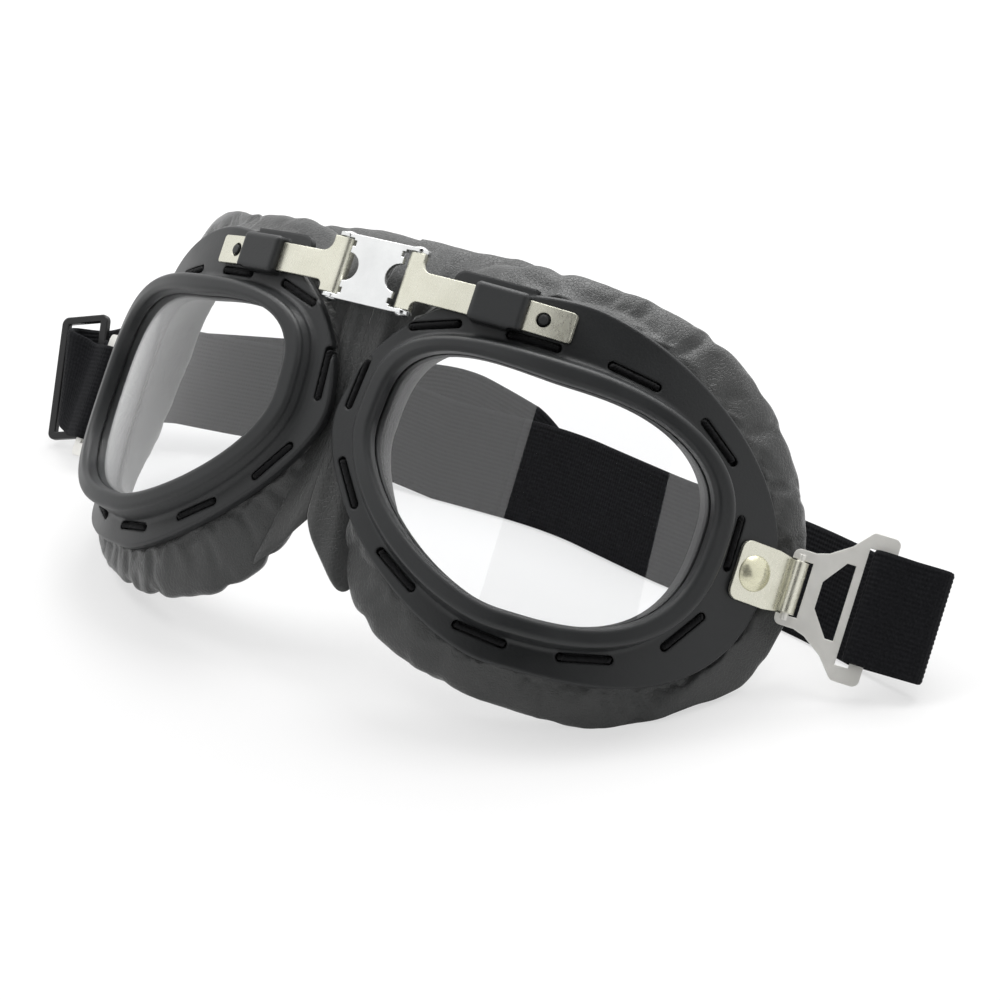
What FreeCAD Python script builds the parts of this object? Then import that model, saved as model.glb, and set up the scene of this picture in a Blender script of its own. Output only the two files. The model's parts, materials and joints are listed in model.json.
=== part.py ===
import FreeCAD, Part
import math
import os
from FreeCAD import Matrix, Placement, Rotation, Vector

# Aviator-style goggles standing on a table, leaning back against their strap.
# Millimetres. They are drawn upright: X to the right seen from the front, Y towards
# the face, Z along the hinge pins with zero at the height of the lens middles.
# The right half is drawn; the left half is its mirror image.

# Curve of the eyecups round the face
wrap_radius = 96.0
wrap_axis_x = 7.7
eye_arc = 42.2

# Flange of the eyecup frame
flange_nasal_reach = 48.9
flange_outer_reach = 56.4
flange_top_reach = 37.8
flange_bottom_reach = 40.1
flange_powers = (2.0, 1.6, 2.6, 1.5)
flange_thickness = 2.4
flange_edge = 0.5

# Raised rim round the lens
rim_nasal_reach = 41.0
rim_outer_reach = 40.8
rim_top_reach = 24.3
rim_bottom_reach = 33.0
rim_powers = (3.6, 2.3, 2.6, 1.6)
rim_width = 4.4
rim_nasal_height = 3.9
rim_outer_height = 7.7
rim_round = 1.3
rim_draft = 0.8
rim_cove = 1.2
ring_sections = 48

# Lens
lens_recess = 3.4
lens_thickness = 1.4
lens_groove_depth = 1.6
lens_clearance = 0.08

# Lacing slots and stitches
slot_count = 11
slot_first_share = 0.002
slot_side_gap = 4.4
slot_top_gap = 2.7
slot_bottom_gap = 2.0
slot_length = 12.4
slot_width = 2.0
slot_depth = 1.1
lace_diameter = 1.3
lace_clearance = 0.08

# Hinge pins and bridge plate
pin_x = 9.35
pin_diameter = 2.0
pin_head_diameter = 3.2
pin_head_height = 0.7
hinge_bottom = 26.0
hinge_length = 13.0
hinge_end_gap = 0.2
hinge_side_gap = 0.5
bridge_thickness = 0.9
bridge_ear_radius = 2.3
bridge_cutout_diameter = 6.4
bridge_notch_width = 1.6
bridge_notch_depth = 1.3
bridge_notch_share = 0.41
running_clearance = 0.05

# Bridge arms
arm_thickness = 0.9
arm_standoff = 0.6
arm_width = 6.5
arm_level = 31.7
arm_tee_length = 2.6
arm_fillet_share = 0.65
arm_end_arc = 40.8
arm_hole_arc = 33.7
arm_hole_diameter = 3.2
arm_corner = 0.8

# Keeper, arm seat and peg moulded on the frame
keeper_arc = 23.9
keeper_length = 12.2
keeper_height = 8.6
keeper_rise = 3.4
keeper_round = 1.1
keeper_clearance = 0.2
seat_arc = 11.5
seat_corner = 2.5
seat_inset = 0.3
peg_diameter = 2.2
peg_rise = 1.3

# Cushion behind the flange: leather cover over a foam pad
cushion_bulge = 8.0
cushion_depth = 18.0
cushion_tuck = 1.0
cushion_inner_step = 1.5
cushion_lean = 3.0
cushion_gap = 0.3
leather_thickness = 1.2
foam_gap = 0.7
bulge_shares = (0.50, 0.65, 0.92, 1.10, -0.35, 1.30, 1.00, 0.72)
depth_shares = (0.72, 0.90, 1.00, 0.80, 0.55, 0.80, 0.80, 0.50)
hip_bow_share = 0.18
back_bow_share = 0.16
wall_bow_share = 0.06
rest_flat_depth = 0.5

# Leather saddle over the nose
saddle_front = 3.6
saddle_thickness = 1.2
saddle_top = 42.0
saddle_waist = 4.0
saddle_arch = -23.0
saddle_foot = -31.0
saddle_top_half = 15.0
saddle_waist_half = 1.0
saddle_foot_half = 11.5
saddle_foot_flat = 4.0

# Strap bracket, rivet and washer at the temple
rivet_arc = 93.6
rivet_level = -4.6
bracket_thickness = 0.9
bracket_gap = 0.12
bracket_inner_length = 4.6
bracket_outer_length = 9.5
bracket_height = 13.0
bracket_curl_height = 11.4
bracket_corner = 2.2
rivet_head_diameter = 7.8
rivet_head_height = 1.7
rivet_shank_diameter = 3.4
rivet_clearance = 0.03
washer_diameter = 7.0
washer_thickness = 0.6
washer_gap = 0.1

# Buckle: lengths run outwards from the hinge bar, heights from its middle
buckle_thickness = 1.2
buckle_bar_diameter = 1.9
buckle_hinge_half = 6.1
buckle_hinge_depth = 2.7
buckle_shoulder_back = 1.9
buckle_shoulder_half = 8.4
buckle_waist_length = 5.3
buckle_waist_half = 9.2
buckle_flare_length = 9.6
buckle_flare_half = 12.2
buckle_ear_start = 13.2
buckle_ear_half = 16.4
buckle_length = 19.2
buckle_window_start = 5.7
buckle_window_half = 3.0
buckle_window_end = 11.5
buckle_window_end_half = 8.4
buckle_slot_start = 13.2
buckle_slot_end = 16.2
buckle_corner = 1.5
buckle_swing = 25.0

# Strap
strap_width = 25.0
strap_thickness = 1.6
strap_side_gap = 0.5
strap_clearance = 0.3
strap_settle = 3.0
strap_lap = 0.5
strap_fold_swing = 20.0
strap_fold_radius = 2.0
strap_joint_x = 104.0
strap_joint_y = 68.0
strap_corner_x = 60.0
strap_back_y = 80.0
strap_back_radius = 178.0
strap_piece_gap = 0.2

# Doubled strap end, and the slider in the fold at the left
left_rise = 9.3
left_rise_start = -30.0
tail_end_x = -10.0
tail_gap = 0.15
slider_window = 10.6
slider_thickness = 1.7
slider_bar_width = 2.4
slider_rail = 2.0
slider_side_gap = 2.2
slider_setback = 0.3
slider_edge = 0.4
slider_tilt = 15.0

# Leaning position on the table
lean_angle = 37.5


# Shared forms
def line(start, end):
    return Part.LineSegment(start, end).toShape()


def arc(start, middle, end):
    return Part.Arc(start, middle, end).toShape()


def wrap(along, level, depth):
    turn = along / wrap_radius
    reach = wrap_radius + depth
    return Vector(wrap_axis_x + reach * math.sin(turn), wrap_radius - reach * math.cos(turn), level)


def front_normal(along):
    turn = along / wrap_radius
    return Vector(math.sin(turn), -math.cos(turn), 0)


def outward_tangent(along):
    turn = along / wrap_radius
    return Vector(math.cos(turn), math.sin(turn), 0)


def oval(angle, reaches, powers):
    nasal, outer, top, bottom = reaches
    upper_nasal, upper_outer, lower_outer, lower_nasal = powers
    across = math.cos(angle)
    upward = math.sin(angle)
    side = outer if across >= 0 else nasal
    height = top if upward >= 0 else bottom
    power = lower_outer if across >= 0 else lower_nasal
    if upward >= 0:
        power = upper_outer if across >= 0 else upper_nasal
    total = abs(across / side) ** power + abs(upward / height) ** power
    return total ** (-1 / power)


flange_reaches = (flange_nasal_reach, flange_outer_reach, flange_top_reach, flange_bottom_reach)
rim_reaches = (rim_nasal_reach, rim_outer_reach, rim_top_reach, rim_bottom_reach)
slot_reaches = (rim_nasal_reach + slot_side_gap, rim_outer_reach + slot_side_gap,
                rim_top_reach + slot_top_gap, rim_bottom_reach + slot_bottom_gap)


def flange_edge_at(angle):
    return oval(angle, flange_reaches, flange_powers)


def rim_edge_at(angle):
    return oval(angle, rim_reaches, rim_powers)


def eye_point(radius, angle, depth):
    return wrap(eye_arc + radius * math.cos(angle), radius * math.sin(angle), depth)


def rim_height_at(offset):
    share = (offset + rim_nasal_reach) / (rim_nasal_reach + rim_outer_reach)
    return rim_nasal_height + (rim_outer_height - rim_nasal_height) * share


def around(shares, angle):
    count = len(shares)
    place = (angle / (2 * math.pi) % 1) * count
    first = int(place) % count
    rest = place - int(place)
    before, start, end, after = [shares[(first + k) % count] for k in (-1, 0, 1, 2)]
    slope_start = (end - before) / 2
    slope_end = (after - start) / 2
    bend = 2 * start - 2 * end + slope_start + slope_end
    rise = 3 * end - 3 * start - 2 * slope_start - slope_end
    return ((bend * rest + rise) * rest + slope_start) * rest + start


def ring_solid(section):
    turns = [2 * math.pi * k / ring_sections for k in range(ring_sections)]
    return Part.makeLoft([section(turn) for turn in turns], True, False, True)


def placed(shape, origin, across, upward, forward):
    frame = Matrix(across.x, upward.x, forward.x, origin.x,
                   across.y, upward.y, forward.y, origin.y,
                   across.z, upward.z, forward.z, origin.z,
                   0, 0, 0, 1)
    shape = shape.copy()
    shape.Placement = Placement(frame)
    return shape


def outline_face(points):
    corners = [Vector(x, y, 0) for x, y in points]
    return Part.Face(Part.makePolygon(corners + corners[:1]))


def round_upright_edges(solid, radius, chosen):
    edges = [e for e in solid.Edges if is_upright(e) and chosen(e.CenterOfMass)]
    return solid.makeFillet(radius, edges)


def is_upright(edge):
    start = edge.valueAt(edge.FirstParameter)
    run = edge.valueAt(edge.LastParameter) - start
    return abs(run.z) > abs(run.x) + abs(run.y)


def mirrored(shape):
    return shape.mirror(Vector(0, 0, 0), Vector(1, 0, 0))


# Eyecup frame: flange, rim, arm seat, keeper and peg in one moulding
def frame_section(angle):
    edge = flange_edge_at(angle)
    rim = rim_edge_at(angle)
    inner = rim - rim_width
    rim_top = rim_height_at(rim * math.cos(angle))
    inner_top = rim_height_at(inner * math.cos(angle))
    slack = 1 - math.sqrt(0.5)

    def at(radius, depth):
        return eye_point(radius, angle, depth)

    wall_foot = rim + rim_draft
    back_edge = at(edge, -flange_thickness)
    edge_low = at(edge, -flange_edge)
    edge_high = at(edge - flange_edge, 0)
    cove_foot = at(wall_foot + rim_cove, 0)
    cove_middle = at(wall_foot + slack * rim_cove, slack * rim_cove)
    cove_top = at(wall_foot, rim_cove)
    rim_side = at(rim, rim_top - rim_round)
    rim_middle = at(rim - slack * rim_round, rim_top - slack * rim_round)
    rim_crest = at(rim - rim_round, rim_top)
    inner_crest = at(inner + rim_round, inner_top)
    inner_middle = at(inner + slack * rim_round, inner_top - slack * rim_round)
    inner_side = at(inner, inner_top - rim_round)
    back_inner = at(inner, -flange_thickness)
    return Part.Wire([
        line(back_edge, edge_low),
        line(edge_low, edge_high),
        line(edge_high, cove_foot),
        arc(cove_foot, cove_middle, cove_top),
        line(cove_top, rim_side),
        arc(rim_side, rim_middle, rim_crest),
        line(rim_crest, inner_crest),
        arc(inner_crest, inner_middle, inner_side),
        line(inner_side, back_inner),
        line(back_inner, back_edge)])


def wrapped_band(low_depth, high_depth, level, height):
    axis = Vector(wrap_axis_x, wrap_radius, level)
    outer = Part.makeCylinder(wrap_radius + high_depth, height, axis)
    return outer.cut(Part.makeCylinder(wrap_radius + low_depth, height, axis))


def block_on_flange(along, level, length, height, low_depth, high_depth):
    block = Part.makeBox(length, height, high_depth - low_depth,
                         Vector(-length / 2, -height / 2, low_depth))
    middle = wrap(along, level, 0)
    return placed(block, middle, outward_tangent(along), Vector(0, 0, 1), front_normal(along))


def arm_seat():
    far = wrap(keeper_arc + keeper_length / 2, 0, 0).x
    near = wrap(seat_arc, 0, 0).x
    low = arm_level - arm_width / 2
    corner = Vector(near, -wrap_radius, low)
    block = Part.makeBox(far - near, 2 * wrap_radius, flange_top_reach - low, corner)
    long_edges = [e for e in block.Edges if abs(e.tangentAt(e.FirstParameter).y) > math.sqrt(0.5)]
    top_near = [e for e in long_edges
                if e.CenterOfMass.x < near + seat_corner and e.CenterOfMass.z > arm_level]
    block = block.makeFillet(seat_corner, top_near)
    band = wrapped_band(seat_inset - flange_thickness, -seat_inset, low, flange_top_reach - low)
    return block.common(band)


def keeper():
    block = block_on_flange(keeper_arc, arm_level, keeper_length, keeper_height,
                            -flange_thickness / 2, keeper_rise)
    inside = wrap(keeper_arc, arm_level, 0)
    normal = front_normal(keeper_arc)
    front_edges = [e for e in block.Edges
                   if (e.CenterOfMass - inside).dot(normal) > flange_edge]
    block = block.makeFillet(keeper_round, front_edges)
    passage_height = arm_width + 2 * keeper_clearance
    low = arm_standoff - keeper_clearance
    high = arm_standoff + arm_thickness + keeper_clearance
    return block.cut(wrapped_band(low, high, arm_level - passage_height / 2, passage_height))


def peg():
    base = wrap(arm_hole_arc, arm_level, -flange_thickness / 2)
    rise = flange_thickness / 2 + arm_standoff + peg_rise
    return Part.makeCylinder(peg_diameter / 2, rise, base, front_normal(arm_hole_arc))


def slot_frames():
    steps = ring_sections * slot_count
    turns = [2 * math.pi * k / steps for k in range(steps)]
    flat = []
    for turn in turns:
        radius = oval(turn, slot_reaches, rim_powers)
        flat.append((eye_arc + radius * math.cos(turn), radius * math.sin(turn)))
    lengths = [0.0]
    for k in range(steps):
        following = flat[(k + 1) % steps]
        lengths.append(lengths[-1] + math.dist(flat[k], following))
    frames = []
    for k in range(slot_count):
        wanted = lengths[-1] * ((k / slot_count + slot_first_share) % 1)
        here = next(n for n in range(steps) if lengths[n + 1] >= wanted)
        spread = slot_count // 2
        along, level = flat[here]
        before = flat[(here - spread) % steps]
        after = flat[(here + spread) % steps]
        run = outward_tangent(along) * (after[0] - before[0]) + Vector(0, 0, after[1] - before[1])
        run.normalize()
        normal = front_normal(along)
        frames.append((wrap(along, level, 0), run, normal.cross(run), normal))
    return frames


def slot_tool(frame):
    reach = (slot_length - slot_width) / 2
    open_rise = rim_outer_height
    groove = Part.makeBox(2 * reach, slot_width, slot_depth + open_rise,
                          Vector(-reach, -slot_width / 2, -slot_depth))
    ends = []
    for place in (-reach, reach):
        ends.append(Part.makeCylinder(slot_width / 2, 3 * flange_thickness + open_rise,
                                      Vector(place, 0, -3 * flange_thickness)))
    return placed(groove.fuse(ends), *frame)


def lens_solid(clearance):
    low = -(rim_bottom_reach + lens_groove_depth)
    tall = rim_bottom_reach + rim_top_reach + 2 * lens_groove_depth
    wide = rim_nasal_reach + rim_outer_reach
    offsets = [-rim_nasal_reach + wide * k / ring_sections for k in range(ring_sections + 1)]
    front = []
    back = []
    for offset in offsets:
        face = rim_height_at(offset) - lens_recess
        front.append(wrap(eye_arc + offset, low, face + clearance))
        back.append(wrap(eye_arc + offset, low, face - lens_thickness - clearance))
    front_curve = Part.BSplineCurve()
    front_curve.interpolate(front)
    back_curve = Part.BSplineCurve()
    back_curve.interpolate(back)
    profile = Part.Wire([front_curve.toShape(), line(front[-1], back[-1]),
                         back_curve.toShape(), line(back[0], front[0])])
    band = Part.Face(profile).extrude(Vector(0, 0, tall))
    normal = front_normal(eye_arc)
    side = outward_tangent(eye_arc)
    middle = wrap(eye_arc, 0, 0)
    points = []
    for k in range(ring_sections):
        turn = 2 * math.pi * k / ring_sections
        radius = rim_edge_at(turn) - rim_width + lens_groove_depth + clearance
        depth = rim_height_at(radius * math.cos(turn)) - lens_recess - lens_thickness / 2
        point = eye_point(radius, turn, depth) - middle
        points.append(Vector(point.dot(side), point.z, 0))
    outline = Part.BSplineCurve()
    outline.interpolate(points, PeriodicFlag=True)
    face = Part.Face(Part.Wire([outline.toShape()]))
    plug = face.extrude(Vector(0, 0, 2 * wrap_radius))
    start = middle - normal * wrap_radius
    return band.common(placed(plug, start, side, Vector(0, 0, 1), normal))


def rivet_tools():
    normal = front_normal(rivet_arc)
    centre = wrap(rivet_arc, rivet_level, 0)
    bore = Part.makeCylinder(rivet_shank_diameter / 2 + rivet_clearance, 4 * flange_thickness,
                             centre - normal * (2 * flange_thickness), normal)
    pocket_floor = centre - normal * (flange_thickness - washer_thickness - 2 * washer_gap)
    pocket = Part.makeCylinder(washer_diameter / 2 + washer_gap, flange_thickness,
                               pocket_floor, normal * -1)
    return [bore, pocket]


def eyecup_frame():
    body = ring_solid(frame_section)
    body = body.fuse([arm_seat(), keeper(), peg()])
    tools = [slot_tool(frame) for frame in slot_frames()]
    tools.append(lens_solid(lens_clearance))
    tools.extend(rivet_tools())
    return body.cut(tools)


# Lacing: one cord stitch in each slot, both legs passing through the flange
def stitch(frame):
    radius = lace_diameter / 2
    reach = (slot_length - slot_width) / 2
    level = radius + lace_clearance - slot_depth
    foot = -flange_thickness
    run = Part.makeCylinder(radius, 2 * reach, Vector(-reach, 0, level), Vector(1, 0, 0))
    extra = []
    for place in (-reach, reach):
        extra.append(Part.makeSphere(radius, Vector(place, 0, level)))
        extra.append(Part.makeCylinder(radius, level - foot, Vector(place, 0, foot)))
    return placed(run.fuse(extra).removeSplitter(), *frame)


def lacing():
    return Part.makeCompound([stitch(frame) for frame in slot_frames()])


# Cushion: a leather cover, hollow, with a foam pad inside
def cushion_section(angle, inset):
    edge = flange_edge_at(angle)
    bulge = cushion_bulge * around(bulge_shares, angle)
    seam = -flange_thickness - cushion_gap
    back = cushion_depth * around(depth_shares, angle) - inset
    belly = (back + inset) / 2
    wall = rim_edge_at(angle) - rim_width + cushion_inner_step + inset
    outer = edge + bulge - inset
    shoulder = min(edge, edge + bulge) - cushion_tuck - inset
    crown = (wall + outer) / 2 + around(bulge_shares, angle) * cushion_lean / 2

    def at(radius, depth):
        return eye_point(radius, angle, seam) + Vector(0, depth, 0)

    def bowed(start, end, share):
        across = (start[0] + end[0]) / 2 + share * (end[1] - start[1])
        down = (start[1] + end[1]) / 2 - share * (end[0] - start[0])
        return arc(at(*start), at(across, down), at(*end))

    front_inner = (wall, inset)
    front_outer = (shoulder, inset)
    hip = (outer, belly)
    seat = (crown, back)
    waist = (wall, belly)
    return Part.Wire([
        line(at(*front_inner), at(*front_outer)),
        bowed(front_outer, hip, hip_bow_share),
        bowed(hip, seat, back_bow_share),
        bowed(seat, waist, back_bow_share),
        bowed(waist, front_inner, -wall_bow_share)])


def cushion_solid(inset):
    return ring_solid(lambda angle: cushion_section(angle, inset))


# Leather saddle between the cushions, over the nose
def nose_saddle():
    half = [(0, saddle_top), (saddle_top_half, saddle_top), (saddle_waist_half, saddle_waist),
            (saddle_foot_half, saddle_foot), (saddle_foot_half - saddle_foot_flat, saddle_foot)]
    hollow = (saddle_top_half - saddle_waist_half) / 4
    upper_middle = ((half[1][0] + half[2][0]) / 2 - hollow, (half[1][1] + half[2][1]) / 2)
    lower_middle = ((half[2][0] + half[3][0]) / 2 - hollow / 2, (half[2][1] + half[3][1]) / 2)

    def at(point, sign):
        return Vector(sign * point[0], saddle_front, point[1])

    arch_rise = Vector(0, saddle_front, saddle_arch)
    edges = [
        line(at(half[1], -1), at(half[1], 1)),
        arc(at(half[1], 1), at(upper_middle, 1), at(half[2], 1)),
        arc(at(half[2], 1), at(lower_middle, 1), at(half[3], 1)),
        line(at(half[3], 1), at(half[4], 1)),
        arc(at(half[4], 1), arch_rise, at(half[4], -1)),
        line(at(half[4], -1), at(half[3], -1)),
        arc(at(half[3], -1), at(lower_middle, -1), at(half[2], -1)),
        arc(at(half[2], -1), at(upper_middle, -1), at(half[1], -1))]
    return Part.Face(Part.Wire(edges)).extrude(Vector(0, saddle_thickness, 0))


# Bridge plate with its ears, the two pins and the arms
curl_bore = pin_diameter / 2 + running_clearance
curl_radius = curl_bore + arm_thickness
pin_y = curl_radius - arm_standoff - arm_thickness
hinge_top = hinge_bottom + hinge_length
hinge_middle = hinge_bottom + hinge_length / 2


def bridge_plate():
    front = pin_y - curl_radius
    half = pin_x - curl_radius - hinge_side_gap
    low = hinge_bottom - bridge_thickness
    tall = hinge_length + 2 * bridge_thickness
    plate = Part.makeBox(2 * half, bridge_thickness, tall, Vector(-half, front, low))
    cutters = []
    for side in (-half, half):
        cutters.append(Part.makeCylinder(bridge_cutout_diameter / 2, 3 * bridge_thickness,
                                         Vector(side, front - bridge_thickness, hinge_middle),
                                         Vector(0, 1, 0)))
        for rise in (-bridge_notch_share, bridge_notch_share):
            corner = Vector(side - bridge_notch_width / 2, front - bridge_thickness,
                            hinge_middle + rise * hinge_length - bridge_notch_depth / 2)
            cutters.append(Part.makeBox(bridge_notch_width, 3 * bridge_thickness,
                                        bridge_notch_depth, corner))
    plate = plate.cut(cutters)
    ears = []
    for level in (low, hinge_top):
        ear = Part.makeBox(2 * pin_x, pin_y - front + bridge_ear_radius, bridge_thickness,
                           Vector(-pin_x, front, level))
        for place in (-pin_x, pin_x):
            ear = ear.fuse(Part.makeCylinder(bridge_ear_radius, bridge_thickness,
                                             Vector(place, pin_y, level)))
        ears.append(ear)
    plate = plate.fuse(ears).removeSplitter()
    for place in (-pin_x, pin_x):
        start = Vector(place, pin_y, low - hinge_length)
        plate = plate.cut(Part.makeCylinder(pin_diameter / 2, 3 * hinge_length, start))
    return plate


def dome(diameter, height, base, direction):
    ball = (diameter * diameter / 4 + height * height) / (2 * height)
    sphere = Part.makeSphere(ball, base - direction * (ball - height))
    return sphere.common(Part.makeCylinder(diameter, 2 * height, base, direction))


def hinge_pin():
    low = hinge_bottom - bridge_thickness
    high = hinge_top + bridge_thickness
    up = Vector(0, 0, 1)
    shank = Part.makeCylinder(pin_diameter / 2, high - low, Vector(pin_x, pin_y, low))
    heads = [dome(pin_head_diameter, pin_head_height, Vector(pin_x, pin_y, high), up),
             dome(pin_head_diameter, pin_head_height, Vector(pin_x, pin_y, low), up * -1)]
    return shank.fuse(heads)


def bridge_arm():
    knuckle_low = hinge_bottom + hinge_end_gap
    knuckle_length = hinge_length - 2 * hinge_end_gap
    tee_end = pin_x + arm_tee_length
    strip_end = wrap(arm_end_arc, 0, 0).x
    low = arm_level - arm_width / 2
    tall = knuckle_length
    tee = Part.makeBox(tee_end - pin_x, 2 * wrap_radius, tall, Vector(pin_x, -wrap_radius, knuckle_low))
    strip = Part.makeBox(strip_end - pin_x, 2 * wrap_radius, arm_width, Vector(pin_x, -wrap_radius, low))
    flat = tee.fuse(strip).removeSplitter()

    def runs_back(edge):
        return abs(edge.tangentAt(edge.FirstParameter).y) > math.sqrt(0.5)

    def beside(edge, place):
        return abs(edge.CenterOfMass.x - place) < arm_thickness / 2

    knuckle_high = knuckle_low + knuckle_length
    shoulders = ((low, low - knuckle_low), (low + arm_width, knuckle_high - low - arm_width))
    for level, drop in shoulders:
        inner = [e for e in flat.Edges if runs_back(e) and beside(e, tee_end)
                 and abs(e.CenterOfMass.z - level) < arm_thickness / 2]
        flat = flat.makeFillet(arm_fillet_share * drop, inner)
    tips = [e for e in flat.Edges if runs_back(e) and beside(e, strip_end)]
    flat = flat.makeFillet(arm_corner, tips)
    band = wrapped_band(arm_standoff, arm_standoff + arm_thickness, knuckle_low, knuckle_length)
    plate = flat.common(band)
    curl = Part.makeCylinder(curl_radius, knuckle_length, Vector(pin_x, pin_y, knuckle_low))
    bore = Part.makeCylinder(curl_bore, knuckle_length, Vector(pin_x, pin_y, knuckle_low))
    hole_base = wrap(arm_hole_arc, arm_level, -arm_thickness)
    hole = Part.makeCylinder(arm_hole_diameter / 2, 4 * arm_thickness,
                             hole_base, front_normal(arm_hole_arc))
    return plate.fuse(curl).cut([bore, hole])


# Bracket, rivet and washer at the temple
bracket_bore = buckle_bar_diameter / 2 + running_clearance
bracket_curl = bracket_bore + bracket_thickness
rivet_place = wrap(rivet_arc, rivet_level, 0)
rivet_normal = front_normal(rivet_arc)
rivet_tangent = outward_tangent(rivet_arc)
bar_depth = bracket_gap + bracket_curl
bar_place = rivet_place + rivet_tangent * bracket_outer_length + rivet_normal * bar_depth
upright = Vector(0, 0, 1)


def on_bracket(shape):
    return placed(shape, rivet_place, rivet_tangent, upright, rivet_normal)


def strap_bracket():
    half = bracket_height / 2
    curl_half = bracket_curl_height / 2
    points = [(-bracket_inner_length, -half), (bracket_inner_length, -half),
              (bracket_outer_length, -curl_half), (bracket_outer_length, curl_half),
              (bracket_inner_length, half), (-bracket_inner_length, half)]
    plate = outline_face(points).extrude(Vector(0, 0, bracket_thickness))
    plate = round_upright_edges(plate, bracket_corner,
                                lambda place: place.x < bracket_outer_length - bracket_corner)
    plate.translate(Vector(0, 0, bracket_gap))
    low = Vector(bracket_outer_length, -curl_half, bar_depth)
    along = Vector(0, 1, 0)
    curl = Part.makeCylinder(bracket_curl, bracket_curl_height, low, along)
    bore = Part.makeCylinder(bracket_bore, bracket_curl_height, low, along)
    hole = Part.makeCylinder(rivet_shank_diameter / 2 + rivet_clearance, 3 * bracket_thickness,
                             Vector(0, 0, -bracket_thickness))
    return on_bracket(plate.fuse(curl).cut([bore, hole]))


def bracket_rivet():
    seat = bracket_gap + bracket_thickness
    tail = -flange_thickness + washer_gap
    forward = Vector(0, 0, 1)
    head = dome(rivet_head_diameter, rivet_head_height, Vector(0, 0, seat), forward)
    shank = Part.makeCylinder(rivet_shank_diameter / 2, seat - tail, Vector(0, 0, tail))
    return on_bracket(head.fuse(shank))


def rivet_washer():
    low = -flange_thickness + washer_gap
    disc = Part.makeCylinder(washer_diameter / 2, washer_thickness, Vector(0, 0, low))
    bore = Part.makeCylinder(rivet_shank_diameter / 2 + rivet_clearance, washer_thickness,
                             Vector(0, 0, low))
    return on_bracket(disc.cut(bore))


# Buckle: a pressed plate turning on the bracket, drawn flat and then swung
def buckle_plate():
    rise = [(-buckle_shoulder_back, buckle_shoulder_half), (buckle_hinge_depth, buckle_shoulder_half),
            (buckle_waist_length, buckle_waist_half), (buckle_flare_length, buckle_flare_half),
            (buckle_ear_start, buckle_ear_half), (buckle_length, buckle_ear_half)]
    fall = [(x, -y) for x, y in reversed(rise)]
    plate = outline_face(rise + fall).extrude(Vector(0, 0, buckle_thickness))
    plate = round_upright_edges(plate, buckle_corner,
                                lambda place: abs(place.y) > buckle_ear_half - buckle_corner)
    plate = round_upright_edges(plate, buckle_corner, lambda place: place.x < -buckle_shoulder_back / 2)
    tall = 3 * buckle_thickness
    hinge = Part.makeBox(2 * buckle_hinge_depth, 2 * buckle_hinge_half, tall,
                         Vector(-buckle_hinge_depth, -buckle_hinge_half, -buckle_thickness))
    window_top = [(buckle_window_start, buckle_window_half),
                  (buckle_flare_length, buckle_window_end_half),
                  (buckle_window_end, buckle_window_end_half)]
    window_low = [(x, -y) for x, y in reversed(window_top)]
    window = outline_face(window_top + window_low).extrude(Vector(0, 0, tall))
    window.translate(Vector(0, 0, -buckle_thickness))
    slot_half = strap_width / 2 + strap_side_gap
    slot = Part.makeBox(buckle_slot_end - buckle_slot_start, 2 * slot_half, tall,
                        Vector(buckle_slot_start, -slot_half, -buckle_thickness))
    plate = plate.cut([hinge, window, slot])
    plate.translate(Vector(0, 0, -buckle_thickness / 2))
    bar_length = buckle_hinge_half + buckle_shoulder_half
    bar = Part.makeCylinder(buckle_bar_diameter / 2, bar_length,
                            Vector(0, -bar_length / 2, 0), Vector(0, 1, 0))
    return plate.fuse(bar)


def swung(shape, swing):
    turn = math.radians(swing)
    outward = Vector(math.cos(turn), math.sin(turn), 0)
    forward = Vector(math.sin(turn), -math.cos(turn), 0)
    return placed(shape, bar_place, outward, upright, forward)


# Strap lengths: flat ribbons drawn in plan and raised along the pins
ply = strap_thickness / 2
lap_offset = ply + strap_clearance / 2
bar_offset = buckle_thickness / 2 + strap_clearance + ply
loop_start = buckle_slot_end - strap_clearance - ply
loop_end = buckle_length + strap_clearance + ply
end_slope = (strap_back_y - strap_joint_y) / (strap_joint_x - strap_corner_x)


def plan(swing, outward, forward):
    turn = math.radians(swing)
    x = bar_place.x + outward * math.cos(turn) + forward * math.sin(turn)
    y = bar_place.y + outward * math.sin(turn) - forward * math.cos(turn)
    return Vector(x, y, 0)


def back_line(x):
    return Vector(x, strap_joint_y - (x - strap_joint_x) * end_slope, 0)


def joint_end():
    joint = back_line(strap_joint_x)
    run = (back_line(strap_corner_x) - joint).normalize()
    return joint + run * (strap_piece_gap / 2), joint - run * (strap_piece_gap / 2)


def shifted(point, run, offset):
    return point + Vector(-run.y, run.x, 0) * offset


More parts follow.
